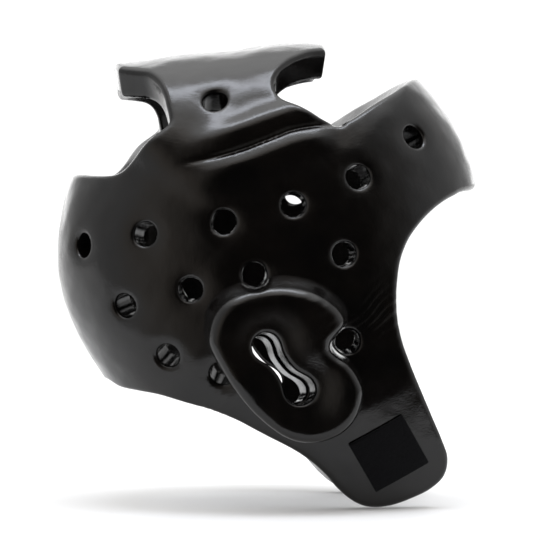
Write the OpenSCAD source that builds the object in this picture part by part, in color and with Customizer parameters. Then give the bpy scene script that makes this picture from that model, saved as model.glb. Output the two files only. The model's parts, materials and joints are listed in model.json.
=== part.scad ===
/* [Head form] */
// Radius of the outer form, seen from the side
form_r = 127; // [124:1:130]
// Half width of the outer form at the ears
form_w = 98; // [95:1:101]
// Total thickness of foam and skin
wall_t = 19; // [17:1:21]
// Thickness of the vinyl skin
skin_t = 1; // [0.8:0.1:1.5]
// Height of the form's centre above the ground
form_z = 155.2; // [150:0.1:158]
// How far the form's centre lies ahead of the origin
form_x = 2.75; // [0:0.05:6]

/* [Vents] */
// Diameter of a vent hole
vent_d = 15; // [12:1:17]
// Width of the ear slot at its lower end
slot_d = 17; // [14:1:19]

/* [Ear pad] */
// Height of the ear pad above the shell
pad_h = 21; // [17:1:24]
// Radius of the ear pad's upper lobe
pad_upper_r = 36; // [34:1:38]
// Radius of the ear pad's lower lobe
pad_lower_r = 33; // [31:1:35]

/* [Chin flap] */
// Width of the closure patches along the fold
patch_w = 37; // [34:1:40]
// Length of the closure patches down the flap
patch_l = 34; // [32:1:38]
// Thickness of the closure patches
patch_t = 2; // [1.5:0.1:2.5]
// Clearance between a flap and its shell
fold_gap = 0.8; // [0.6:0.1:1]

/* [Hidden] */
$fn = 64;

skin_colour = [0.06, 0.06, 0.07];
foam_colour = [0.16, 0.16, 0.17];
fabric_colour = [0.1, 0.1, 0.11];
glue_colour = [0.5, 0.42, 0.25];

bond_t = 0.4;
patch_drop = 4;
reach = 160;

// The fold line of the chin flap, on the middle of the wall
fold_at = [55, -71, -102];
fold_rise = 30;
flap_lean = 12;
fold_in = 60;
form_full = 2.6;
cheek_side = 52;

// The ear pad's centre on the form, and its tilt towards the ground
pad_at = [3, -88, -68];
pad_tilt = 12;
pad_upper = [-8, 12];
pad_lower = [9, -16];

// Vent places on the side of the form, as [forward, up] from its centre
vent_places = [
    [-116, 2], [-81, 9], [-34, 16], [7, 26], [45, 43], [81, 66],
    [-91, -33], [-54, -23], [-16, -15], [37, -3],
    [-68, -64], [-35, -74], [39, -55],
    [-38, 87]
];
// The left half has one of them further forward, and those behind the ear further back
left_vents_back = 9;
left_vent_places = [
    for (i = [0 : len(vent_places) - 1])
        i == 3 ? [22, 34] :
        vent_places[i][0] < 0 && vent_places[i][1] < 30 ? vent_places[i] - [left_vents_back, 0] :
        vent_places[i]
];

// The crown bar, as [forward, up] at the middle of its two ends
bar_rear = [-92, 107];
bar_front = [34, 120];
bar_half_w = 27;
bar_tilt = atan2(bar_front[1] - bar_rear[1], bar_front[0] - bar_rear[0]);
bar_length = norm(bar_front - bar_rear);

// Outline of one half seen from the side, as [forward, up] from the form's centre
half_outline = [
    [reach, 37], [120, 37], [111, 36], [103, 33], [91, 27], [82, 17], [73, 6], [69, -6], [67, -18],
    [67, -30], [68, -41], [72, -53], [76, -67], [83, -83], [95, -113],
    [35, -147], [20, -124], [7, -117], [-12, -108], [-26, -101], [-40, -95], [-55, -90],
    [-70, -87], [-82, -84], [-99, -81], [-reach, -81],
    [-reach, 44], [-97, 44], [-86, 53], [-76, 64], [-68, 72], [-66, 79], [-67, 90], [-67, 113],
    [8, 118], [0, 106], [-1, 96], [3, 89], [12, 82], [22, 78], [34, 74], [45, 79], [56, 86],
    [68, 93], [reach, 153]
];

// Outline of a chin flap below its fold line, as [along the fold, down]
flap_corner_r = 16;
flap_outline = concat(
    [[41, 0], [37, 14], [32, 28]],
    arc([12, 31], 20, 0, -75),
    arc([-19, 31], flap_corner_r, -100, -175),
    [[-38, 14], [-41, 0]]
);

function arc(centre, r, from, to, steps = 8) = [
    for (i = [0 : steps])
    let (a = from + (to - from) * i / steps)
    [centre[0] + r * cos(a), centre[1] - r * sin(a)]
];

// The depth and the outward direction of the form at a side place
function form_y(p) = -form_w * pow(max(0, 1 - pow(norm(p) / form_r, form_full)), 1 / form_full);
function steepness(x, size) = pow(abs(x) / size, form_full - 1) / size;
function form_normal(p) = let (out = p / norm(p) * steepness(norm(p), form_r)) [
    out[0], -steepness(form_y(p), form_w), out[1]
];

// A closed outline moved inwards by d, for one that runs clockwise
function unit(v) = v / norm(v);
function edge_in(a, b) = let (e = unit(b - a)) [e[1], -e[0]];
function inset(points, d) = let (n = len(points)) [
    for (i = [0 : n - 1])
    let (
        p = points[i],
        m = edge_in(points[(i + n - 1) % n], p),
        k = edge_in(p, points[(i + 1) % n])
    )
    p + (m + k) * d / (1 + m * k)
];

// The form is a full half oval turned about the line through the ears
module form(d) {
    r = form_r - d;
    w = form_w - d;
    steps = 18;
    rotate([90, 0, 0])
    rotate_extrude()
    polygon([
        for (i = [0 : steps])
        let (a = -90 + 180 * i / steps)
        [r * pow(max(0, cos(a)), 2 / form_full), w * sign(sin(a)) * pow(abs(sin(a)), 2 / form_full)]
    ]);
}

// The frame of the fold line: its first axis runs along the fold and its third axis up the flap
module at_fold() {
    translate(fold_at)
    rotate([0, -fold_rise, 0])
    rotate([flap_lean, 0, 0])
    children();
}

// The cheek carries on flat above the fold line, between its outer and inner faces
module cheek_block(d, side) {
    at_fold()
    translate([-side, -wall_t / 2 + d, -60])
    cube([2 * side + 20, 60, 130]);
}

module side_prism(d) {
    rotate([90, 0, 0])
    linear_extrude(height = reach)
    polygon(inset(half_outline, d));
}

module crown_bar(d) {
    translate([bar_rear[0], 0, bar_rear[1]])
    rotate([0, -bar_tilt, 0])
    translate([d, -bar_half_w + d, -wall_t + d])
    cube([bar_length - 2 * d, bar_half_w - 2 * d, wall_t - 2 * d]);
}

module vent(p, r) {
    n = form_normal(p);
    translate([p[0], form_y(p), p[1]])
    rotate([0, acos(n[2] / norm(n)), atan2(n[1], n[0])])
    cylinder(h = 2.6 * wall_t, r = r, center = true);
}

module pad_frame() {
    translate(pad_at)
    rotate([pad_tilt, 0, 0])
    rotate([90, 0, 0])
    children();
}

module ear_slot(d) {
    upper = [-10, 11];
    lower = [8, -15];
    waist = slot_d * 0.62;
    r = slot_d / 2 + d;
    pad_frame()
    translate([0, 0, -2 * wall_t])
    linear_extrude(height = 4 * wall_t)
    union() {
        translate(upper) circle(r = r - 0.8);
        translate(lower) circle(r = r);
        translate((upper + lower) / 2)
        rotate(atan2(upper[1] - lower[1], upper[0] - lower[0]))
        square([norm(upper - lower), waist + 2 * d], center = true);
    }
}

// Everything that a folding flap sweeps, with its clearance
module fold_relief(d) {
    r = wall_t / 2 + fold_gap + d;
    lip = r + patch_t + bond_t;
    far = 90;
    at_fold()
    rotate([90, 0, 90])
    linear_extrude(height = 2 * far, center = true)
    union() {
        circle(r = r);
        polygon([
            [-r, 0], [-r, -far], [far, -far],
            [lip * cos(fold_in) + far * sin(fold_in), lip * sin(fold_in) - far * cos(fold_in)],
            [lip * cos(fold_in), lip * sin(fold_in)]
        ]);
    }
}

// The open space between the cheeks, below the forehead
module face_opening(d) {
    translate([50 - d, -58 - d, -reach])
    cube([reach, reach, reach + 30 + d]);
    translate([-30 - d, -50 - d, -reach])
    cube([reach, reach, reach - 88 + d]);
}

module half_shell(d, places = vent_places) {
    difference() {
        union() {
            intersection() {
                difference() {
                    union() {
                        form(d);
                        cheek_block(d, cheek_side - d);
                    }
                    form(wall_t - d);
                    cheek_block(wall_t - d, cheek_side - 6 + d);
                }
                translate([0, -bond_t / 2 - d, 0]) side_prism(d);
            }
            translate([0, -bond_t / 2, 0]) crown_bar(d);
        }
        for (p = places) vent(p, vent_d / 2 + d);
        ear_slot(d);
        fold_relief(d);
        face_opening(d);
    }
}

module kidney(d) {
    difference() {
        union() {
            translate(pad_upper) circle(r = pad_upper_r - d);
            translate(pad_lower) circle(r = pad_lower_r - d);
            translate((pad_upper + pad_lower) / 2)
            rotate(atan2(pad_upper[1] - pad_lower[1], pad_upper[0] - pad_lower[0]))
            square([norm(pad_upper - pad_lower), 2 * pad_lower_r + 1 - 2 * d], center = true);
        }
        translate([37, 12]) circle(r = 12 + d);
    }
}

module ear_pad(d) {
    difference() {
        pad_frame()
        translate([0, 0, -30])
        linear_extrude(height = 30 + pad_h - d)
        kidney(d);
        form(-bond_t - d);
        cheek_block(-bond_t - d, cheek_side);
        for (i = [8, 11, 12]) vent(vent_places[i], vent_d / 2 + 1 + d);
        ear_slot(d);
    }
}

module ear_pad_bond() {
    difference() {
        intersection() {
            pad_frame()
            translate([0, 0, -30])
            linear_extrude(height = 60)
            kidney(skin_t);
            union() {
                form(-bond_t);
                cheek_block(-bond_t, cheek_side);
            }
        }
        form(0);
        cheek_block(0, cheek_side);
        for (i = [8, 11, 12]) vent(vent_places[i], vent_d / 2 + 1 + skin_t);
        ear_slot(skin_t);
    }
}

module chin_flap(d) {
    r = wall_t / 2 - d;
    at_fold() {
        rotate([90, 0, 0])
        linear_extrude(height = 2 * r, center = true)
        polygon(inset([for (p = flap_outline) [p[0], -p[1]]], d));
        rotate([0, 90, 0])
        cylinder(h = 82 - 2 * d, r = r, center = true);
    }
}

// A closure patch on the outer (side = -1) or inner (side = 1) face of the flap
module patch(side, thick, lift) {
    at_fold()
    translate([-patch_w / 2, side * (wall_t / 2 + lift + thick / 2) - thick / 2, -patch_drop - patch_l])
    cube([patch_w, thick, patch_l]);
}

module seam_film(low, high, from, to) {
    intersection() {
        difference() {
            form(skin_t);
            form(wall_t - skin_t);
        }
        translate([from, -bond_t / 2, low]) cube([to - from, bond_t, high - low]);
    }
}

module place() {
    translate([form_x, 0, form_z]) children();
}

module left() {
    place() mirror([0, 1, 0]) children();
}

module right_shell_core() {
    color(foam_colour) place() half_shell(skin_t);
}

module right_shell_skin() {
    color(skin_colour) place() difference() {
        half_shell(0);
        half_shell(skin_t);
    }
}

module left_shell_core() {
    color(foam_colour) left() half_shell(skin_t, left_vent_places);
}

module left_shell_skin() {
    color(skin_colour) left() difference() {
        half_shell(0, left_vent_places);
        half_shell(skin_t, left_vent_places);
    }
}

module right_ear_pad_core() {
    color(foam_colour) place() ear_pad(skin_t);
}

module right_ear_pad_skin() {
    color(skin_colour) place() difference() {
        ear_pad(0);
        ear_pad(skin_t);
    }
}

module left_ear_pad_core() {
    color(foam_colour) left() ear_pad(skin_t);
}

module left_ear_pad_skin() {
    color(skin_colour) left() difference() {
        ear_pad(0);
        ear_pad(skin_t);
    }
}

module right_ear_pad_bond() {
    color(glue_colour) place() ear_pad_bond();
}

module left_ear_pad_bond() {
    color(glue_colour) left() ear_pad_bond();
}

module right_chin_flap_core() {
    color(foam_colour) place() chin_flap(skin_t);
}

module right_chin_flap_skin() {
    color(skin_colour) place() difference() {
        chin_flap(0);
        chin_flap(skin_t);
    }
}

module left_chin_flap_core() {
    color(foam_colour) left() chin_flap(skin_t);
}

module left_chin_flap_skin() {
    color(skin_colour) left() difference() {
        chin_flap(0);
        chin_flap(skin_t);
    }
}

module loop_patch() {
    color(fabric_colour) place() patch(-1, patch_t, bond_t);
}

module loop_patch_bond() {
    color(glue_colour) place() patch(-1, bond_t, 0);
}

module hook_patch() {
    color(fabric_colour) left() patch(1, patch_t, bond_t);
}

module hook_patch_bond() {
    color(glue_colour) left() patch(1, bond_t, 0);
}

module forehead_bond() {
    color(glue_colour) place() seam_film(40, 96, 60, reach);
}

module crown_bond() {
    color(glue_colour)
    place()
    translate([bar_rear[0], 0, bar_rear[1]])
    rotate([0, -bar_tilt, 0])
    translate([skin_t, -bond_t / 2, skin_t - wall_t])
    cube([bar_length - 2 * skin_t, bond_t, wall_t - 2 * skin_t]);
}

module rear_bond() {
    color(glue_colour) place() seam_film(-78, 45, -reach, -60);
}

right_shell_core();
right_shell_skin();
left_shell_core();
left_shell_skin();
right_ear_pad_core();
right_ear_pad_skin();
left_ear_pad_core();
left_ear_pad_skin();
right_ear_pad_bond();
left_ear_pad_bond();
right_chin_flap_core();
right_chin_flap_skin();
left_chin_flap_core();
left_chin_flap_skin();
loop_patch();
hook_patch();
loop_patch_bond();
hook_patch_bond();
forehead_bond();
crown_bond();
rear_bond();
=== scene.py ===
import json
import math

import bpy
import numpy as np
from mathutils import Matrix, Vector


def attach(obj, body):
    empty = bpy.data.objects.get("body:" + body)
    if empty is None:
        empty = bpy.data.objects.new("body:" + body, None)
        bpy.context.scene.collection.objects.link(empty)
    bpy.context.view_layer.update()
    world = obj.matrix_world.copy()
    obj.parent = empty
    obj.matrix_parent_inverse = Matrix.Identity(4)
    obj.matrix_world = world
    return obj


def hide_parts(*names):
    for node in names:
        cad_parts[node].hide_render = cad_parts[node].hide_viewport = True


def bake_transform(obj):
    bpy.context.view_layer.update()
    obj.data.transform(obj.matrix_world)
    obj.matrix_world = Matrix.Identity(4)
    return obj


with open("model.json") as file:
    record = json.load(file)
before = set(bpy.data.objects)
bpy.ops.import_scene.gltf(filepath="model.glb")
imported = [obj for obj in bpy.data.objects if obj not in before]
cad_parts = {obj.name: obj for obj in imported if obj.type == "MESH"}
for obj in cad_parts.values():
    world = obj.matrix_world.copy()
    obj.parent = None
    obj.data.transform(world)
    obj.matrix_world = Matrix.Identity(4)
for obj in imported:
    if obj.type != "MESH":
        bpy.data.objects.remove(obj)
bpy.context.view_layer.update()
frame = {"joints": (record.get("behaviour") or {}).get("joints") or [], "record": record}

# Lengths are in millimetres up to the last step, which sets the pieces in metres
MM = 0.001
WALL = 19.0
SKIN = 1.0
BOND = 0.4
SEAM = 0.2
# How far a glue film stays clear of the faces on its two sides
FILM_CLEAR = 0.05
# How far the foam stays clear of the skin round it
FOAM_CLEAR = 0.15

RECORD = frame["record"]
MOUNTS = {m["name"]: m for m in RECORD["mounts"]}
JOINTS = {j["name"]: j for j in frame["joints"]}
CENTRE = Vector(MOUNTS["head_cavity"]["pos_m"])

# ---------------------------------------------------------------- head form
# Side radius of the form and fullness of its section, by angle from the front
HALF_WIDTH = 98.0
RADII = [
    (-180, 129.5), (-150, 128), (-120, 129), (-60, 126), (0, 127), (10, 129), (17, 131),
    (28, 133), (40, 135.5), (50, 137), (60, 132), (74, 128.5), (82, 125.5), (89, 124), (99, 122),
    (109, 124.5), (116, 129.5), (123, 136.5), (127, 141), (131, 147), (135, 154), (139, 158),
    (143, 150), (148, 133), (152, 128.5), (159, 128.5), (170, 129), (180, 129.5),
]
FULLNESS = [
    (-180, 2.6), (-90, 2.8), (-40, 2.7), (0, 2.5), (40, 2.4), (90, 2.5), (130, 2.6), (150, 2.4),
    (180, 2.6),
]
# The chin flap leaves the form straight: its direction, and how fast that fades
FLAP_DIRECTION = -57.0
FLAP_CORE = 18.0
FLAP_FADE = 62.0
# Lean inwards, in degrees, of the cheek and the flap below it, and the lengths
# from the ear over which each comes in
CHEEK_LEAN = 9.0
CHEEK_RUN = (0, 60)
FLAP_LEAN = 17.0
FLAP_RUN = (102, 118)
# Lean of the frame's flap bodies, which the fold follows
FOLD_LEAN = 12.0
# The ears lie this share of the half width behind the middle of the form
EARS_BACK = 0.07
EARS_ROUND = 15.0
# Spread, in degrees, of the smoothing of the two tables
TABLE_SPREAD = 2.6
TABLE_REACH = 18
ANGLE_STEP = 2.0
ANGLES = np.arange(-180.0, 181.0, ANGLE_STEP)
STEPS = np.arange(0.0, 300.5, 1.0)
NO_END = 400.0


def smooth(a, b, x):
    t = np.clip((np.asarray(x, float) - a) / (b - a), 0, 1)
    return t * t * (3 - 2 * t)


def around(table, angle):
    """A smooth closed curve through a table of angles and values."""
    places = [p[0] for p in table]
    values = [p[1] for p in table]
    fine = np.arange(-180, 180, 1.0)
    y = np.interp(fine, places, values)
    near_by = np.arange(-TABLE_REACH, TABLE_REACH + 1)
    k = np.exp(-0.5 * (near_by / TABLE_SPREAD) ** 2)
    y = np.convolve(np.concatenate([y[-TABLE_REACH:], y, y[:TABLE_REACH]]), k / k.sum(), "valid")
    turned = (np.asarray(angle) + 180) % 360
    return np.interp(turned, np.append(fine, 180) + 180, np.append(y, y[0]))


def off_flap(angle):
    return np.abs((np.asarray(angle) - FLAP_DIRECTION + 180) % 360 - 180)


def meridians():
    """Side radius and depth at equal steps from the ear, along each angle."""
    radius = np.zeros((len(ANGLES), len(STEPS)))
    depth = np.zeros_like(radius)
    end = np.zeros(len(ANGLES))
    t = np.linspace(0, 1, 1601) * math.pi / 2
    more_lean = FLAP_LEAN - CHEEK_LEAN
    lean = CHEEK_LEAN * smooth(*CHEEK_RUN, STEPS) + more_lean * smooth(*FLAP_RUN, STEPS)
    lean = np.radians(lean)
    flap_r = np.concatenate([[0], np.cumsum(np.cos(lean))[:-1]])
    flap_y = -HALF_WIDTH + np.concatenate([[0], np.cumsum(np.sin(lean))[:-1]])
    for i, angle in enumerate(ANGLES):
        size = around(RADII, angle)
        n = around(FULLNESS, angle)
        r = size * np.sin(t) ** (2 / n)
        y = -HALF_WIDTH * np.cos(t) ** (2 / n)
        y[-1] = 0
        s = np.concatenate([[0], np.cumsum(np.hypot(np.diff(r), np.diff(y)))])
        end[i] = s[-1]
        body_r = np.interp(STEPS, s, r)
        body_y = np.interp(STEPS, s, y) + np.maximum(STEPS - s[-1], 0)
        m = 1 - smooth(FLAP_CORE, FLAP_FADE, off_flap(angle))
        radius[i] = body_r * (1 - m) + flap_r * m
        depth[i] = body_y * (1 - m) + flap_y * m
    return radius, depth, end


RADIUS_TABLE, DEPTH_TABLE, END_TABLE = meridians()


def cubic(f):
    return [
        (-f + 2 * f * f - f**3) / 2,
        (2 - 5 * f * f + 3 * f**3) / 2,
        (f + 4 * f * f - 3 * f**3) / 2,
        (-f * f + f**3) / 2,
    ]


def lookup(table, angle, s):
    i = (np.asarray(angle) + 180) / ANGLE_STEP
    j = np.clip(s, 0, STEPS[-1] - 1e-6)
    i0 = np.clip(np.floor(i).astype(int), 0, len(ANGLES) - 2)
    j0 = np.floor(j).astype(int)
    wi = cubic(i - i0)
    wj = cubic(j - j0)
    turns = len(ANGLES) - 1
    out = 0
    for a in range(4):
        ia = (i0 + a - 1) % turns
        for b in range(4):
            jb = np.clip(j0 + b - 1, 0, len(STEPS) - 1)
            out = out + wi[a] * wj[b] * table[ia, jb]
    return out


def surface(u, w):
    s = np.hypot(u, w) + 1e-6
    angle = np.degrees(np.arctan2(w, u))
    r = lookup(RADIUS_TABLE, angle, s)
    y = lookup(DEPTH_TABLE, angle, s)
    back = EARS_BACK * (np.hypot(y, EARS_ROUND) - EARS_ROUND)
    return np.stack([r * u / s - back, y, r * w / s], -1)


def normal(u, w):
    e = 0.6
    du = surface(u + e, w) - surface(u - e, w)
    dw = surface(u, w + e) - surface(u, w - e)
    n = np.cross(du, dw)
    return n / np.linalg.norm(n, axis=-1, keepdims=True)


def place(u, w, h):
    return surface(u, w) + h[..., None] * normal(u, w)


# ------------------------------------------------------------- chart fields
# The chart's u runs forward and w up from the ear; the distance from the
# origin is the length along the form
LOW_U, HIGH_U = -196.5, 190.5
LOW_W, HIGH_W = -165.0, 193.5
FINE = 0.75
AXIS_U = np.arange(LOW_U, HIGH_U + FINE, FINE)
AXIS_W = np.arange(LOW_W, HIGH_W + FINE, FINE)
CHART_U, CHART_W = np.meshgrid(AXIS_U, AXIS_W, indexing="ij")
CHART_S = np.hypot(CHART_U, CHART_W) + 1e-6
CHART_A = np.degrees(np.arctan2(CHART_W, CHART_U))
# How much shorter a length across a meridian is on the form than in the chart
SQUEEZE = np.clip(lookup(RADIUS_TABLE, CHART_A, CHART_S) / CHART_S, 0.3, 1.2)


def curve(points, closed=False, per=8):
    """A smooth line through the points; a doubled point is a corner."""
    runs = [[points[0]]]
    for a, b in zip(points[:-1], points[1:]):
        runs[-1].append(b)
        if a == b:
            runs[-1].pop()
            runs.append([b])
    out = []
    for run in runs:
        p = np.array(run, float)
        if len(p) == 1:
            out.append(p)
            continue
        q = np.vstack([2 * p[0] - p[1], p, 2 * p[-1] - p[-2]])
        if closed and len(runs) == 1:
            q = np.vstack([p[-1], p, p[0], p[1]])
        for i in range(1, len(q) - 2):
            for t in np.arange(per) / per:
                c = cubic(t)
                out.append((c[0] * q[i - 1] + c[1] * q[i] + c[2] * q[i + 1] + c[3] * q[i + 2])[None])
        if not closed or len(runs) > 1:
            out.append(q[-2][None])
    return np.vstack(out)


def distance(outline, open_line=False):
    """Distance to an outline over the chart, negative inside it."""
    last = len(outline) - 1 if open_line else len(outline)
    best = np.full(CHART_U.shape, 1e9)
    inside = np.zeros(CHART_U.shape, bool)
    for i in range(last):
        a = outline[i]
        b = outline[(i + 1) % len(outline)]
        d = b - a
        length = d @ d
        if length < 1e-12:
            continue
        t = np.clip(((CHART_U - a[0]) * d[0] + (CHART_W - a[1]) * d[1]) / length, 0, 1)
        gap = (CHART_U - a[0] - t * d[0]) ** 2 + (CHART_W - a[1] - t * d[1]) ** 2
        best = np.minimum(best, gap)
        if d[1] != 0:
            crosses = (a[1] > CHART_W) != (b[1] > CHART_W)
            inside ^= crosses & (CHART_U < a[0] + (CHART_W - a[1]) * d[0] / d[1])
    best = np.sqrt(best)
    return best if open_line else np.where(inside, -best, best)


def true_length(field):
    """A chart distance turned into a length on the form."""
    gu = np.gradient(field, FINE, axis=0)
    gw = np.gradient(field, FINE, axis=1)
    gs = (gu * CHART_U + gw * CHART_W) / CHART_S
    gt = (gw * CHART_U - gu * CHART_W) / CHART_S
    return field / np.maximum(np.sqrt(gs**2 + (gt / SQUEEZE) ** 2), 0.5)


def hole(place_at, radius):
    """Length from the rim of a round hole, positive inside the hole."""
    du = CHART_U - place_at[0]
    dw = CHART_W - place_at[1]
    s = math.hypot(*place_at)
    ds = (du * place_at[0] + dw * place_at[1]) / s
    dt = (dw * place_at[0] - du * place_at[1]) / s
    angle = math.degrees(math.atan2(place_at[1], place_at[0]))
    squeeze = float(lookup(RADIUS_TABLE, np.array(angle), np.array(s))) / s
    return radius - np.hypot(ds, dt * squeeze)


def bend_max(a, b, r):
    """The larger of two fields, with their corner rounded to radius r."""
    pa = np.maximum(a + r, 0)
    pb = np.maximum(b + r, 0)
    return np.hypot(pa, pb) + np.minimum(np.maximum(a + r, b + r), 0) - r


def sample(field, u, w):
    """Smooth value of a chart field."""
    x = np.clip((u - LOW_U) / FINE, 1.001, field.shape[0] - 2.001)
    y = np.clip((w - LOW_W) / FINE, 1.001, field.shape[1] - 2.001)
    i = np.floor(x).astype(int)
    j = np.floor(y).astype(int)
    f = x - i
    g = y - j
    low = field[i, j] * (1 - f) + field[i + 1, j] * f
    high = field[i, j + 1] * (1 - f) + field[i + 1, j + 1] * f
    return low * (1 - g) + high * g


# ------------------------------------------------------------------ outlines
BODY_LINE = [
    (-215, -180), (-147, -121), (-125, -102), (-106, -99.5), (-88, -96), (-70, -95), (-52, -98),
    (-37, -101), (-22, -106), (-7, -113), (12, -121.5), (23.5, -129), (33, -137.5), (41, -146.5),
    (48.5, -153), (56.5, -157), (65.5, -158), (76, -156.5), (87, -152.5), (98, -147), (106, -139),
    (108, -128), (104, -116), (97, -100), (90, -84), (83.5, -69), (78.5, -55), (76, -42),
    (75.5, -30), (76.5, -18), (79, -6), (84, 5), (92, 15), (101, 23), (111, 29.5), (122, 34.5),
    (134, 39), (159, 45), (180, 52), (215, 63), (215, 63), (215, 215), (215, 215),
    (-215, 215), (-215, 215),
]
REAR_GAP = [
    (-215, 80), (-215, 80), (-171, 64), (-143, 55), (-116, 49), (-98, 48), (-85, 55), (-73, 66),
    (-66, 71.5), (-62, 76), (-62.5, 82), (-65, 90), (-68, 98), (-74, 108), (-82, 116),
    (-91, 120.5), (-108, 126.5), (-108, 126.5), (-156, 182), (-156, 182), (-215, 182), (-215, 182),
]
FRONT_GAP = [
    (148, 176), (148, 176), (121, 144), (109, 131), (95, 117), (80, 103), (65, 92), (52, 82),
    (41, 75), (41, 75), (29, 79.5), (18, 85), (8, 91.5), (3, 98), (2, 106), (4.5, 114),
    (9, 121), (15, 128), (22, 134), (30, 139.5), (40, 144), (40, 144), (55, 215), (55, 215),
]
# Fold across the side below the crown: (height, distance off the line, spread)
# of the bulge above it and the one below it, and the line's own depth and width
UPPER_BULGE = (4.6, 11, 8.5)
LOWER_BULGE = (3.2, 9, 7.0)
CREASE_DEPTH = 1.5
CREASE_WIDTH = 1.5
CREASE_LINE = [(44, 76), (36, 75), (27, 74), (12, 71), (0, 66), (-18, 59), (-35, 54), (-55, 50)]
VENTS = [
    (-123, 2), (-76, 9), (-28, 16), (13, 26), (52, 43), (91, 71), (-90, -35), (-48, -24),
    (-10, -15), (43, -3), (-63, -65), (-30, -75), (45, -55), (-35, 92),
]
# On the left half the vents behind the ear are this much further back, and the
# one at this place in the list is further forward
LEFT_BACK = 9
SEEN_THROUGH = 3
LEFT_VENTS = [(u - LEFT_BACK, w) if u < 0 and w < 30 else (u, w) for u, w in VENTS]
LEFT_VENTS[SEEN_THROUGH] = (29, 35)
VENT_RADIUS = 7.3
# The face dips this much towards a vent's rim, and that fades over this length
VENT_DIMPLE = (0.8, 0, 5.0)
# Roundness of the corners where the rear and front gaps meet the shell's outline
REAR_CORNER = 3.0
FRONT_CORNER = 1.5
# The ear pad is cut back round these vents
PAD_VENTS = (8, 12)
SLOT_TOP = (-3, -53)
SLOT_FOOT = (17, -79)
SLOT_TOP_RADIUS = 7.0
SLOT_FOOT_RADIUS = 7.8
SLOT_WAIST = 4.6
# Softness of the joins between the slot's ends and waist, and what that adds
SLOT_SOFTNESS = 3.0
SLOT_GAIN = 1.2
# The slot runs back and down on its way in from the pad's face, at this height
SLOT_FACE = 20.0
SLOT_LEAN = (-0.18, -0.26)
PAD_LINE = [
    (-35, -50), (-32, -38), (-25, -30), (-15, -26), (-5, -23.5), (7, -22.5), (18, -24), (26, -27),
    (33, -32), (38, -38), (38.5, -43), (35, -48), (32, -52), (31.5, -57), (35, -61.5),
    (42, -66), (48, -74), (51, -83), (48, -95), (40, -104), (29, -109), (18, -109.5), (8, -106),
    (-2, -98.5), (-12, -88.5), (-21, -77), (-28, -66), (-33, -57),
]
PATCH_CORNERS = [(46, -117), (78, -99), (95, -129), (63, -147)]


def centre_line():
    """Length past the seam in the middle, which stops short of the chin."""
    end = np.interp(CHART_A, ANGLES, END_TABLE)
    end = np.where(off_flap(CHART_A) < FLAP_FADE, NO_END, end)
    return CHART_S - end + SEAM


def slot_field(grow=0.0):
    """Length inside the ear slot, positive in it."""
    a = np.array(SLOT_TOP, float)
    b = np.array(SLOT_FOOT, float)
    d = b - a
    t = np.clip(((CHART_U - a[0]) * d[0] + (CHART_W - a[1]) * d[1]) / (d @ d), 0, 1)
    bar = np.hypot(CHART_U - a[0] - t * d[0], CHART_W - a[1] - t * d[1]) - SLOT_WAIST
    top = np.hypot(CHART_U - a[0], CHART_W - a[1]) - SLOT_TOP_RADIUS
    foot = np.hypot(CHART_U - b[0], CHART_W - b[1]) - SLOT_FOOT_RADIUS
    soft = SLOT_SOFTNESS
    joined = -soft * np.log(np.exp(-bar / soft) + np.exp(-top / soft) + np.exp(-foot / soft))
    return grow - joined - SLOT_GAIN


def waves(seed, size, count=9):
    """Low, soft unevenness over the chart, from -1 to 1."""
    rng = np.random.default_rng(seed)
    out = np.zeros(CHART_U.shape)
    for _ in range(count):
        turn = rng.uniform(0, 2 * math.pi)
        length = size * rng.uniform(0.7, 1.6)
        phase = rng.uniform(0, 2 * math.pi)
        across = CHART_U * math.cos(turn) + CHART_W * math.sin(turn)
        out += np.sin(2 * math.pi * across / length + phase)
    return out / count**0.5


def bulge(side, height, middle, spread):
    return height * np.exp(-(((side - middle) / spread) ** 2))


def near(point, reach):
    return np.exp(-((CHART_U - point[0]) ** 2 + (CHART_W - point[1]) ** 2) / reach**2)


def crease():
    """Relief of the fold line and of the bulges on its two sides."""
    line = curve(CREASE_LINE)
    side = distance(line, open_line=True)
    below = CHART_W < np.interp(CHART_U, line[::-1, 0], line[::-1, 1])
    fade = smooth(-64, -28, CHART_U) * (1 - smooth(46, 58, CHART_U))
    swell = smooth(-60, -20, CHART_U) * (1 - smooth(22, 42, CHART_U))
    groove = -CREASE_DEPTH * np.exp(-((side / CREASE_WIDTH) ** 2)) * fade
    upper = bulge(side, *UPPER_BULGE) * swell * ~below
    lower = bulge(side, *LOWER_BULGE) * swell * below
    return groove + upper + lower


def shell_fields(places):
    """The shell's outline, its vents and the relief of its outer face."""
    body = true_length(distance(curve(BODY_LINE)))
    rear = true_length(distance(curve(REAR_GAP)))
    front = true_length(distance(curve(FRONT_GAP)))
    outline = bend_max(body, -rear, REAR_CORNER)
    outline = bend_max(outline, -front, FRONT_CORNER)
    vents = np.maximum.reduce([hole(p, VENT_RADIUS) for p in places])
    seam = centre_line()
    relief = crease() - bulge(np.minimum(0, vents), *VENT_DIMPLE)
    relief = relief + 0.35 * waves(3, 70) + 0.10 * waves(5, 22)
    wrinkle = np.sin((CHART_W * 0.75 - CHART_U * 0.66) * 1.3 + 1.2 * waves(8, 30))
    puckers = 0.26 * near((62, -40), 17) + 0.16 * near((6, 2), 9) + 0.2 * near((-36, -95), 12)
    return outline, vents, seam, relief + puckers * wrinkle


EDGE, HOLES, SEAM_SIDE, RELIEF = shell_fields(VENTS)
_, LEFT_HOLES, _, LEFT_RELIEF = shell_fields(LEFT_VENTS)


# The pad's face: its height, and the depth and spread of its dish round the slot
PAD_HEIGHT = 20.3
PAD_DISH = (4.6, 0, 12.0)
# The pad is this much wider at its foot than at its face, and more so on top
PAD_FLARE = 4.0
PAD_FLARE_ABOVE = 3.5
PAD_VENT_GAP = 0.8
PAD_SLOT_GAP = 1.0


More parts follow.
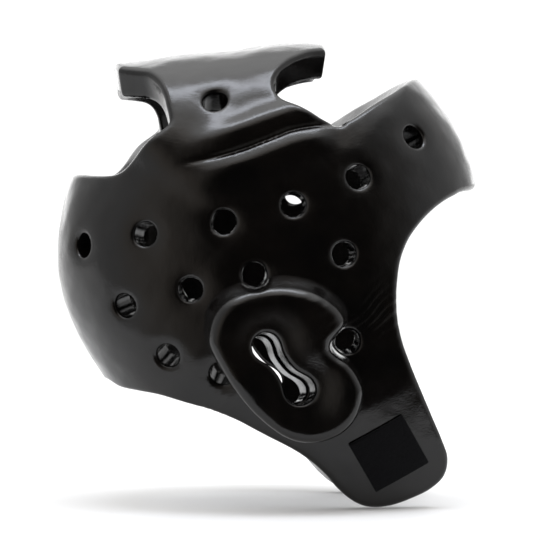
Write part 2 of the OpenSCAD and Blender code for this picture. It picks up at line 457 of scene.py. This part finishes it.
def pad_fields():
    """The ear pad's outline at its crest, its holes and the height of its face."""
    outside = distance(curve(PAD_LINE, closed=True))
    vents = np.maximum(*[hole(VENTS[i], VENT_RADIUS + PAD_VENT_GAP) for i in PAD_VENTS])
    slot = slot_field(PAD_SLOT_GAP)
    face = PAD_HEIGHT - bulge(np.minimum(0, slot), *PAD_DISH) + 0.3 * waves(4, 30)
    bend = 0.22 * np.sin((CHART_U * 0.5 - CHART_W * 0.9) * 0.9 + waves(9, 25)) * near((34, -36), 16)
    return outside, vents, slot, face + bend


PAD_EDGE, PAD_HOLES, PAD_SLOT, PAD_FACE = pad_fields()
SHELL_SLOT = slot_field()


def slot_at(field, u, w, h):
    """The slot's field, moved the way that the slot leans."""
    depth = SLOT_FACE - h
    return sample(field, u - SLOT_LEAN[0] * depth, w - SLOT_LEAN[1] * depth)


# -------------------------------------------------------------------- solids
# Roundness of each kind of edge
OUTER_EDGE = 3.6
INNER_EDGE = 2.5
SEAM_EDGE = 1.2
HOLE_EDGE = 1.8
PAD_CREST = 5.5
PAD_HOLE_EDGE = 2.6
PATCH_RIM = 0.9
PATCH_FOOT = 0.15


def shell_solid(vents, relief):
    def solid(u, w, h):
        top = h - sample(relief, u, w)
        body = bend_max(sample(EDGE, u, w), top, OUTER_EDGE)
        holes = np.maximum(sample(vents, u, w), slot_at(SHELL_SLOT, u, w, h))
        body = bend_max(body, holes, HOLE_EDGE)
        body = bend_max(body, -WALL - h, INNER_EDGE)
        return bend_max(body, sample(SEAM_SIDE, u, w), SEAM_EDGE)

    return solid


def pad_solid(u, w, h):
    upper = smooth(-60, -30, w)
    flare = (PAD_FLARE + PAD_FLARE_ABOVE * upper) * (1 - smooth(0, SLOT_FACE, h))
    outside = sample(PAD_EDGE, u, w) - flare
    body = bend_max(outside, h - sample(PAD_FACE, u, w), PAD_CREST)
    body = bend_max(body, sample(PAD_HOLES, u, w), PAD_HOLE_EDGE)
    body = bend_max(body, slot_at(PAD_SLOT, u, w, h), PAD_HOLE_EDGE)
    return np.maximum(body, BOND + sample(RELIEF, u, w) - h)


def patch_outline():
    corners = []
    for p in PATCH_CORNERS:
        corners += [p, p]
    return distance(curve(corners + [PATCH_CORNERS[0]], per=2))


PATCH_EDGE = patch_outline()


def patch_solid(low, high):
    """A square of fabric between two heights over the flap's face."""

    def solid(u, w, h):
        base = sample(RELIEF, u, w) if low >= 0 else 0.0
        edge = sample(PATCH_EDGE, u, w)
        body = bend_max(edge, h - base - high, PATCH_RIM)
        return bend_max(body, low + base - h, PATCH_FOOT)

    return solid


PAD_FILM_INSET = 2.0


def pad_film(u, w, h):
    """The glue under the ear pad."""
    base = sample(RELIEF, u, w)
    across = np.maximum(sample(PAD_EDGE, u, w), sample(PAD_HOLES, u, w))
    across = np.maximum(across, slot_at(PAD_SLOT, u, w, h)) + PAD_FILM_INSET
    return np.maximum.reduce([across, h - base - BOND + FILM_CLEAR, base + FILM_CLEAR - h])


# -------------------------------------------------------------------- meshes
def cell_corners(values):
    out = []
    for i in (0, 1):
        for j in (0, 1):
            for k in (0, 1):
                block = values[
                    i : values.shape[0] - 1 + i,
                    j : values.shape[1] - 1 + j,
                    k : values.shape[2] - 1 + k,
                ]
                out.append(((i, j, k), block))
    return dict(out)


def net(values):
    """Points, in cells, and four-sided faces round the space below zero."""
    shape = tuple(n - 1 for n in values.shape)
    total = np.zeros(shape + (3,))
    count = np.zeros(shape)
    corner = cell_corners(values)
    for a in corner:
        for axis in range(3):
            if a[axis]:
                continue
            b = tuple(1 if i == axis else a[i] for i in range(3))
            va, vb = corner[a], corner[b]
            hit = (va < 0) != (vb < 0)
            t = np.where(hit, va / np.where(hit, va - vb, 1), 0)
            for i in range(3):
                total[..., i] += hit * (a[i] + (t if i == axis else 0))
            count += hit
    active = count > 0
    index = np.full(shape, -1)
    index[active] = np.arange(active.sum())
    base = np.argwhere(active)
    points = base + total[active] / count[active][:, None]
    faces = []
    inside = values < 0
    for axis in range(3):
        b, c = (axis + 1) % 3, (axis + 2) % 3
        low = np.take(inside, range(values.shape[axis] - 1), axis)
        high = np.take(inside, range(1, values.shape[axis]), axis)
        at = np.argwhere(low != high)
        at = at[(at[:, b] > 0) & (at[:, c] > 0)]
        at = at[(at[:, b] < values.shape[b] - 1) & (at[:, c] < values.shape[c] - 1)]
        quad = []
        for db, dc in ((-1, -1), (0, -1), (0, 0), (-1, 0)):
            q = at.copy()
            q[:, b] += db
            q[:, c] += dc
            quad.append(index[tuple(q.T)])
        quad = np.stack(quad, 1)
        out = low[tuple(at.T)]
        faces.append(np.where(out[:, None], quad, quad[:, ::-1]))
    return points, np.vstack(faces)


def settle(solid, p, offset, reach, rounds=3):
    """The points moved onto the surface of the solid."""
    e = 0.25
    for _ in range(rounds):
        f = solid(*p.T) + offset
        g = np.stack(
            [
                (solid(p[:, 0] + e, p[:, 1], p[:, 2]) - solid(p[:, 0] - e, p[:, 1], p[:, 2])),
                (solid(p[:, 0], p[:, 1] + e, p[:, 2]) - solid(p[:, 0], p[:, 1] - e, p[:, 2])),
                (solid(p[:, 0], p[:, 1], p[:, 2] + e) - solid(p[:, 0], p[:, 1], p[:, 2] - e)),
            ],
            1,
        ) / (2 * e)
        size = np.maximum((g * g).sum(1, keepdims=True), 0.3)
        step = -0.9 * f[:, None] * g / size
        long = np.linalg.norm(step, axis=1, keepdims=True)
        p = p + step * np.minimum(1, 0.6 * reach / np.maximum(long, 1e-9))
    return p


def skinned(solid, low, high, step, offset=0.0):
    """Points in chart units and faces of a solid shrunk by offset."""
    axes = [np.arange(a - 0.37 * s, b + s, s) for a, b, s in zip(low, high, step)]
    u, w, h = np.meshgrid(*axes, indexing="ij")
    values = solid(u.ravel(), w.ravel(), h.ravel()).reshape(u.shape) + offset
    points, faces = net(values)
    p = np.array([a[0] for a in axes]) + points * np.array(step)
    return settle(solid, p, offset, min(step)), faces


def on_form(points, side):
    """Chart points set in the shared frame, on the right (-1) or left side."""
    p = place(*points.T)
    p[:, 1] *= -side
    return p * MM + np.array(CENTRE)


def build(name, points, faces, side=-1):
    if side > 0:
        faces = faces[:, ::-1]
    mesh = bpy.data.meshes.new(name)
    mesh.from_pydata(points.tolist(), [], faces.tolist())
    mesh.validate()
    for polygon in mesh.polygons:
        polygon.use_smooth = True
    mesh.update()
    obj = bpy.data.objects.new(name, mesh)
    bpy.context.scene.collection.objects.link(obj)
    return obj


SHELL_LOW = (-194, -160, -22)
SHELL_HIGH = (188, 191, 9)
PAD_LOW = (-50, -124, -2)
PAD_HIGH = (64, -8, 24)
PATCH_LOW = (38, -154, -24)
PATCH_HIGH = (104, -92, 5)
HOOK_BACK = -WALL - BOND
PATCH_THICK = 2.0
PATCH_STEPS = (0.9, 0.9, 0.45)
LOOP_SOLID = patch_solid(BOND, BOND + PATCH_THICK)
LOOP = skinned(LOOP_SOLID, PATCH_LOW[:2] + (-1,), PATCH_HIGH, PATCH_STEPS)
HOOK_SOLID = patch_solid(HOOK_BACK - PATCH_THICK, HOOK_BACK)
HOOK = skinned(HOOK_SOLID, PATCH_LOW, PATCH_HIGH[:2] + (-18,), PATCH_STEPS)


def hollow(solid, low, high, step, inner_step):
    """Outer and inner surface of a skin, and the foam inside it."""
    outer, faces = skinned(solid, low, high, step)
    inner, inner_faces = skinned(solid, low, high, inner_step, SKIN)
    points = np.vstack([outer, inner])
    both = np.vstack([faces, inner_faces[:, ::-1] + len(outer)])
    foam, foam_faces = skinned(solid, low, high, inner_step, SKIN + FOAM_CLEAR)
    return (points, both), (foam, foam_faces)


# Mesh steps of the outer faces, and of the hidden ones inside the skin
GRID = 1.5
COARSE = 2 * GRID
SHELL_STEPS = ((GRID,) * 3, (COARSE, COARSE, GRID))
PAD_STEPS = ((1.2,) * 3, (2.0, 2.0, 1.5))
FILM_STEPS = (2.0, 2.0, 0.12)
SHELL_PARTS = {
    "right": hollow(shell_solid(HOLES, RELIEF), SHELL_LOW, SHELL_HIGH, *SHELL_STEPS),
    "left": hollow(shell_solid(LEFT_HOLES, LEFT_RELIEF), SHELL_LOW, SHELL_HIGH, *SHELL_STEPS),
}
PAD_PARTS = hollow(pad_solid, PAD_LOW, PAD_HIGH, *PAD_STEPS)


# ------------------------------------------------------------------ materials
def new_material(name, colour, roughness):
    m = bpy.data.materials.new(name)
    m.use_nodes = True
    b = m.node_tree.nodes["Principled BSDF"]
    b.inputs["Base Color"].default_value = (*colour, 1)
    b.inputs["Roughness"].default_value = roughness
    return m, m.node_tree, b


def add(tree, kind, **values):
    n = tree.nodes.new(kind)
    for k, v in values.items():
        n.inputs[k.replace("_", " ")].default_value = v
    return n


def noise(tree, scale, detail=3.0, roughness=0.5):
    n = add(tree, "ShaderNodeTexNoise", Scale=scale, Detail=detail, Roughness=roughness)
    where = tree.nodes.new("ShaderNodeTexCoord")
    tree.links.new(where.outputs["Object"], n.inputs["Vector"])
    return n.outputs["Fac"]


def ramp(tree, value, low, high, out_low, out_high):
    n = tree.nodes.new("ShaderNodeMapRange")
    n.inputs["From Min"].default_value = low
    n.inputs["From Max"].default_value = high
    n.inputs["To Min"].default_value = out_low
    n.inputs["To Max"].default_value = out_high
    tree.links.new(value, n.inputs["Value"])
    return n.outputs["Result"]


def colours(tree, value, low, high):
    n = tree.nodes.new("ShaderNodeMix")
    n.data_type = "RGBA"
    n.inputs["A"].default_value = (*low, 1)
    n.inputs["B"].default_value = (*high, 1)
    tree.links.new(value, n.inputs["Factor"])
    return n.outputs["Result"]


def bump(tree, height, depth, strength=1.0, under=None):
    n = tree.nodes.new("ShaderNodeBump")
    n.inputs["Strength"].default_value = strength
    n.inputs["Distance"].default_value = depth
    tree.links.new(height, n.inputs["Height"])
    if under is not None:
        tree.links.new(under, n.inputs["Normal"])
    return n.outputs["Normal"]


VINYL_DARK = (0.0018, 0.0017, 0.0018)
VINYL_LIGHT = (0.0052, 0.0043, 0.0038)


def vinyl(name, fine_depth=0.00008):
    m, tree, b = new_material(name, VINYL_DARK, 0.16)
    patches = ramp(tree, noise(tree, 38.0), 0.35, 0.7, 0.0, 1.0)
    tree.links.new(colours(tree, patches, VINYL_DARK, VINYL_LIGHT), b.inputs["Base Color"])
    wear = ramp(tree, noise(tree, 140.0, 5.0, 0.65), 0.35, 0.7, 0.11, 0.23)
    tree.links.new(wear, b.inputs["Roughness"])
    b.inputs["IOR"].default_value = 1.45
    swell = bump(tree, noise(tree, 60.0, 2.0), 0.0004)
    grain = bump(tree, noise(tree, 900.0, 3.0, 0.6), fine_depth, 1.0, swell)
    tree.links.new(grain, b.inputs["Normal"])
    return m


def foam_material():
    m, tree, b = new_material("foam_cells", (0.05, 0.05, 0.055), 0.9)
    cells = tree.nodes.new("ShaderNodeTexVoronoi")
    cells.inputs["Scale"].default_value = 700.0
    tree.links.new(bump(tree, cells.outputs["Distance"], 0.0004), b.inputs["Normal"])
    speckle = colours(tree, noise(tree, 500.0), (0.035, 0.035, 0.04), (0.07, 0.07, 0.075))
    tree.links.new(speckle, b.inputs["Base Color"])
    return m


def glue_material():
    m, tree, b = new_material("glue_film", (0.1, 0.085, 0.05), 0.5)
    streaks = colours(tree, noise(tree, 220.0), (0.08, 0.065, 0.035), (0.14, 0.12, 0.07))
    tree.links.new(streaks, b.inputs["Base Color"])
    tree.links.new(bump(tree, noise(tree, 350.0), 0.0002), b.inputs["Normal"])
    return m


def pile_material(name, low, high, scale, depth, roughness=0.8):
    """Matted nylon: fine loops or hooks with a soft sheen."""
    m, tree, b = new_material(name, low, roughness)
    fuzz = noise(tree, scale, 6.0, 0.8)
    tree.links.new(colours(tree, fuzz, low, high), b.inputs["Base Color"])
    first = bump(tree, noise(tree, scale * 0.3, 4.0, 0.7), depth * 1.5)
    tree.links.new(bump(tree, fuzz, depth, 1.0, first), b.inputs["Normal"])
    b.inputs["Sheen Weight"].default_value = 0.03
    b.inputs["Sheen Roughness"].default_value = 0.5
    b.inputs["Specular IOR Level"].default_value = 0.08
    return m


VINYL = vinyl("dipped_vinyl")
FOAM = foam_material()
GLUE = glue_material()
LOOP_COLOURS = ((0.0015, 0.0016, 0.002), (0.006, 0.006, 0.0075))
HOOK_COLOURS = ((0.002, 0.002, 0.0024), (0.012, 0.012, 0.014))
LOOP_PILE = pile_material("loop_pile", *LOOP_COLOURS, 1500.0, 0.0005)
HOOK_PILE = pile_material("hook_tape", *HOOK_COLOURS, 900.0, 0.0007)


def finish_piece(obj, material, nodes):
    obj.data.materials.append(material)
    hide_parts(*nodes)
    return obj


# --------------------------------------------------------------------- pieces
SIDES = {"right": -1, "left": 1}


def flap_down(side):
    """The way a chin flap points, square to its fold line and in its plane."""
    fold = Vector(JOINTS["right_chin_flap_fold"]["axis"])
    lean = math.radians(FOLD_LEAN)
    fall = Vector((fold.z, 0, -fold.x))
    down = fall * math.cos(lean) + Vector((0, 1, 0)) * math.sin(lean)
    down.y *= -side
    return down.normalized()


def bends(obj, name):
    """The piece's placement baked into its mesh; the way its chin flap points is worked out but not
    used.
    """
    down = flap_down(SIDES[name])
    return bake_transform(obj)


def half(name):
    side = SIDES[name]
    (skin, skin_faces), (foam, foam_faces) = SHELL_PARTS[name]
    cover = build(f"{name}_half_skin", on_form(skin, side), skin_faces, side)
    finish_piece(cover, VINYL, [f"{name}_shell_skin", f"{name}_chin_flap_skin"])
    bends(cover, name)
    core = build(f"{name}_half_foam", on_form(foam, side), foam_faces, side)
    finish_piece(core, FOAM, [f"{name}_shell_core", f"{name}_chin_flap_core"])
    bends(core, name)


def ear_pad(name):
    side = SIDES[name]
    (skin, skin_faces), (foam, foam_faces) = PAD_PARTS
    cover = build(f"{name}_pad_skin", on_form(skin, side), skin_faces, side)
    finish_piece(cover, VINYL, [f"{name}_ear_pad_skin"])
    core = build(f"{name}_pad_foam", on_form(foam, side), foam_faces, side)
    finish_piece(core, FOAM, [f"{name}_ear_pad_core"])
    points, faces = skinned(pad_film, PAD_LOW[:2] + (-2.5,), PAD_HIGH[:2] + (2.5,), FILM_STEPS)
    bond = build(f"{name}_pad_glue", on_form(points, side), faces, side)
    finish_piece(bond, GLUE, [f"{name}_ear_pad_bond"])
    for obj in (cover, core, bond):
        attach(obj, "shell")


def closure(name, parts, film_low, piece, material):
    side = SIDES[name]
    points, faces = parts
    patch = build(piece, on_form(points, side), faces, side)
    finish_piece(patch, material, [piece])
    bends(patch, name)
    solid = patch_solid(film_low + FILM_CLEAR, film_low + BOND - FILM_CLEAR)
    low = PATCH_LOW[:2] + (film_low - 1.5,)
    high = PATCH_HIGH[:2] + (film_low + 1.9,)
    points, faces = skinned(solid, low, high, FILM_STEPS)
    bond = build(f"{piece}_glue", on_form(points, side), faces, side)
    finish_piece(bond, GLUE, [f"{piece}_bond"])
    bends(bond, name)


# The first and last angle from the front, over the top, of each glued seam
SEAMS = {"forehead_bond": (19, 47), "crown_bond": (77, 127), "rear_bond": (162, 215)}
FILM_INSET = 2.4
FILM_HALF = SEAM * 0.9


def seam_film(node, first, last):
    """The glue between the two halves, along the middle of the head."""
    angles = np.arange(first, last + 1.0, 1.5)
    angles = (angles + 180) % 360 - 180
    end = np.interp(angles, ANGLES, END_TABLE)
    u = end * np.cos(np.radians(angles))
    w = end * np.sin(np.radians(angles))
    rows = []
    for h in (-FILM_INSET, -WALL + FILM_INSET):
        p = place(u, w, np.full(len(u), h))
        for y in (-FILM_HALF, FILM_HALF):
            q = p.copy()
            q[:, 1] = y
            rows.append(q * MM + np.array(CENTRE))
    n = len(angles)
    points = np.vstack(rows)
    faces = []
    ring = (0, 1, 3, 2)
    for a, b in zip(ring, ring[1:] + ring[:1]):
        for i in range(n - 1):
            faces.append((a * n + i, a * n + i + 1, b * n + i + 1, b * n + i))
    faces.append(tuple(k * n for k in ring))
    faces.append(tuple(k * n + n - 1 for k in reversed(ring)))
    obj = build(node.replace("bond", "glue"), points, np.array(faces))
    finish_piece(obj, GLUE, [node])
    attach(obj, "shell")


for part in SIDES:
    half(part)
    ear_pad(part)
closure("right", LOOP, 0.0, "loop_patch", LOOP_PILE)
closure("left", HOOK, HOOK_BACK, "hook_patch", HOOK_PILE)
for seam, (first_angle, last_angle) in SEAMS.items():
    seam_film(seam, first_angle, last_angle)


# ------------------------------------------------------------ floor and light
def plain(name, colour, roughness):
    m, tree, b = new_material(name, colour, roughness)
    tint = colours(tree, noise(tree, 3.0), colour, tuple(c * 0.985 for c in colour))
    tree.links.new(tint, b.inputs["Base Color"])
    b.inputs["Emission Color"].default_value = (1, 1, 1, 1)
    b.inputs["Emission Strength"].default_value = 0.1
    return m


def floor():
    half_width, front, rear = 4.0, -0.19, 7.0
    corners = [(-half_width, front), (half_width, front), (half_width, rear), (-half_width, rear)]
    mesh = bpy.data.meshes.new("floor")
    mesh.from_pydata([(x, y, 0) for x, y in corners], [], [(0, 1, 2, 3)])
    ground = bpy.data.objects.new("floor", mesh)
    bpy.context.scene.collection.objects.link(ground)
    ground.data.materials.append(plain("floor_white", (0.72, 0.72, 0.72), 0.7))


def area_light(name, at, aim, size, power, colour=(1, 1, 1)):
    data = bpy.data.lights.new(name, "AREA")
    data.shape = "RECTANGLE"
    data.size, data.size_y = size
    data.energy = power
    data.color = colour
    obj = bpy.data.objects.new(name, data)
    bpy.context.scene.collection.objects.link(obj)
    obj.location = at
    obj.rotation_euler = (Vector(aim) - Vector(at)).to_track_quat("-Z", "Y").to_euler()


def larger(tree, first, second):
    most = tree.nodes.new("ShaderNodeMath")
    most.operation = "MAXIMUM"
    tree.links.new(first, most.inputs[0])
    tree.links.new(second, most.inputs[1])
    return most.outputs["Value"]


def surroundings():
    """A white room with a bright ceiling, darker towards the camera's side."""
    world = bpy.data.worlds.new("studio")
    bpy.context.scene.world = world
    world.use_nodes = True
    tree = world.node_tree
    back = tree.nodes["Background"]
    where = tree.nodes.new("ShaderNodeTexCoord")
    split = tree.nodes.new("ShaderNodeSeparateXYZ")
    tree.links.new(where.outputs["Generated"], split.inputs["Vector"])
    beside = ramp(tree, split.outputs["Y"], -0.85, -0.15, 0.0, 0.8)
    behind = ramp(tree, split.outputs["Y"], 0.2, 0.8, 0.0, 1.15)
    rear = ramp(tree, split.outputs["X"], -0.65, -0.1, 0.7, 0.03)
    above = ramp(tree, split.outputs["Z"], 0.5, 0.97, 0.0, 2.6)
    strength = larger(tree, larger(tree, beside, behind), larger(tree, rear, above))
    tree.links.new(strength, back.inputs["Strength"])
    warm = ramp(tree, split.outputs["Y"], -0.85, -0.4, 0.0, 1.0)
    tree.links.new(colours(tree, warm, (1.0, 0.9, 0.8), (1, 1, 1)), back.inputs["Color"])


FOCAL = 240.0
# Degrees above level, degrees towards the rear, metres away, metres below centre
RISE = 1.0
TURN = 4.0
DISTANCE = 2.2
AIM_DROP = 0.014


def camera():
    data = bpy.data.cameras.new("camera")
    data.lens = FOCAL
    data.sensor_width = 36.0
    obj = bpy.data.objects.new("camera", data)
    bpy.context.scene.collection.objects.link(obj)
    bpy.context.scene.camera = obj
    rise = math.radians(RISE)
    turn = math.radians(TURN)
    level = Vector((-math.sin(turn), -math.cos(turn), 0))
    away = level * math.cos(rise) + Vector((0, 0, math.sin(rise)))
    up = Vector((0, 0, math.cos(rise))) - level * math.sin(rise)
    aim = CENTRE - up * AIM_DROP
    obj.location = aim + away * DISTANCE
    obj.rotation_euler = (-away).to_track_quat("-Z", "Y").to_euler()


bpy.context.scene.view_settings.view_transform = "Standard"
floor()
surroundings()
camera()
area_light("overhead", (0.0, -0.15, 1.6), CENTRE, (1.1, 0.35), 9.0, (0.85, 0.9, 1.0))
area_light("back", (0.0, 1.9, 0.9), CENTRE, (2.6, 1.4), 10.0)
